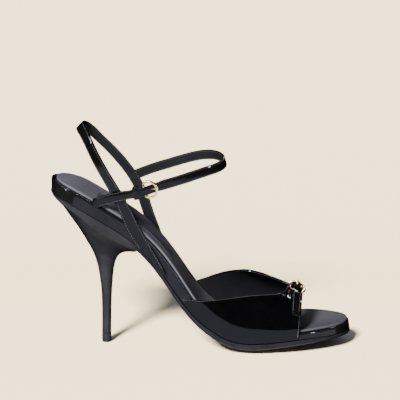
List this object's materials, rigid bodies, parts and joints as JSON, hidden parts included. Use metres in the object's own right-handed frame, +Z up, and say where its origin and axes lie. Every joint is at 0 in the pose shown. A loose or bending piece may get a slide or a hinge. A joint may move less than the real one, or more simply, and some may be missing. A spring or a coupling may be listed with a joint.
{
  "type": "high-heeled buckle sandal",
  "caption": "Right high-heeled sandal with an open-toed upper, a slung back strap, an ankle strap with a round buckle, and a slim covered heel.",
  "frame": {"origin": "on the floor at the back of the flat spot under the ball of the foot, on the shoe's middle line", "axes": "+X from heel to toe, +Y towards the inner side of the foot, +Z up"},
  "size_m": [0.2188, 0.08, 0.165],
  "materials": {
    "patent": "black patent, mirror gloss",
    "sock_leather": "smooth black satin",
    "sole_rubber": "smooth black, semi-matt",
    "lift_rubber": "hard black, semi-matt",
    "gilt": "polished pale gold"
  },
  "bodies": {
    "root": {"outsole": "sole_rubber", "platform": "patent", "insole": "sock_leather", "heel": "patent", "heel_tip": "lift_rubber", "vamp": "patent", "back_strap": "patent", "vamp_belt": "patent", "vamp_buckle": "gilt", "vamp_prong": "gilt", "ankle_buckle": "gilt", "ankle_prong": "gilt", "ankle_keeper": "patent"}
  },
  "joints": []
}
